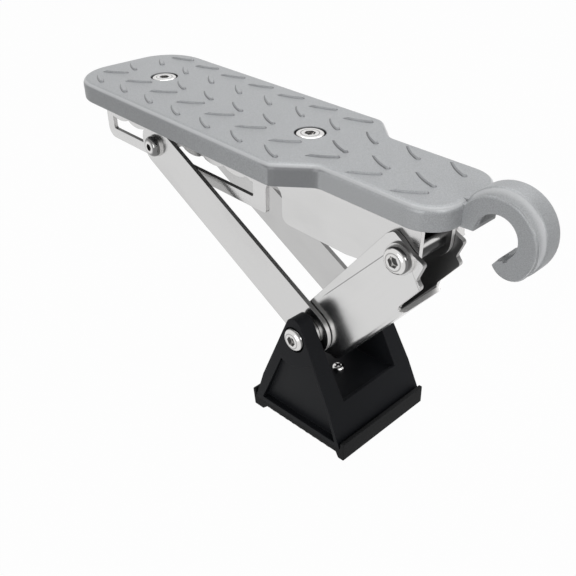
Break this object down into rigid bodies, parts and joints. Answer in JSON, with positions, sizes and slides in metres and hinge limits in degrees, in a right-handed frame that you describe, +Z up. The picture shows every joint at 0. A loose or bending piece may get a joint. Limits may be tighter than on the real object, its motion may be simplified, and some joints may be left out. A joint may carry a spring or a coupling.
{
  "type": "car door latch step",
  "caption": "Folding foot step that hooks onto a car door latch striker: treaded cast plate, toothed sheet bracket, folding leg with struts, and a swivelling padded foot.",
  "frame": {"origin": "middle of the hook's bore, on the step's mid plane", "axes": "+X from the tread towards the hook's closed side, +Y across the step along the bore, +Z up, square to the tread"},
  "size_m": [0.2358, 0.062, 0.1345],
  "materials": {
    "silver_paint": "satin silver-grey paint on an aluminium casting",
    "stainless": "polished stainless sheet",
    "plated_steel": "bright plated steel",
    "black_plastic": "moulded black plastic, fine satin",
    "black_rubber": "moulded black rubber"
  },
  "bodies": {
    "deck": {"step_plate": "silver_paint", "support_bracket": "stainless", "rear_bracket_screw": "plated_steel", "front_bracket_screw": "plated_steel", "rear_bracket_nut": "plated_steel", "front_bracket_nut": "plated_steel", "leg_pivot_bolt": "plated_steel", "leg_pivot_nut": "plated_steel", "leg_pivot_washers": "plated_steel", "leg_pivot_sleeve": "plated_steel"},
    "leg": {"leg_channel": "stainless", "foot_pivot_sleeve": "plated_steel"},
    "struts": {"near_strut": "stainless", "far_strut": "stainless", "strut_pin": "plated_steel", "strut_pin_nut": "plated_steel", "strut_pin_spacers": "plated_steel", "strut_pin_washers": "plated_steel"},
    "foot": {"foot_block": "black_plastic", "foot_pad": "black_rubber", "foot_pad_screw": "plated_steel", "foot_pivot_bolt": "plated_steel", "foot_pivot_nut": "plated_steel", "foot_pivot_washers": "plated_steel"}
  },
  "joints": [
    {"name": "leg_fold", "type": "hinge", "parent": "deck", "child": "leg", "pos_m": [-0.0298, 0, -0.0179], "axis": [0, 1, 0], "range_deg": [0, 41]},
    {"name": "strut_fold", "type": "hinge", "parent": "leg", "child": "struts", "pos_m": [-0.0695, 0, -0.0695], "axis": [0, 1, 0], "range_deg": [-63, 0]},
    {"name": "foot_swivel", "type": "hinge", "parent": "leg", "child": "foot", "pos_m": [-0.0695, 0, -0.0695], "axis": [0, 1, 0], "range_deg": [-25, 5]}
  ],
  "couplings": [
    {"joint": "strut_fold", "follows": "leg_fold", "ratio": -1.53}
  ]
}
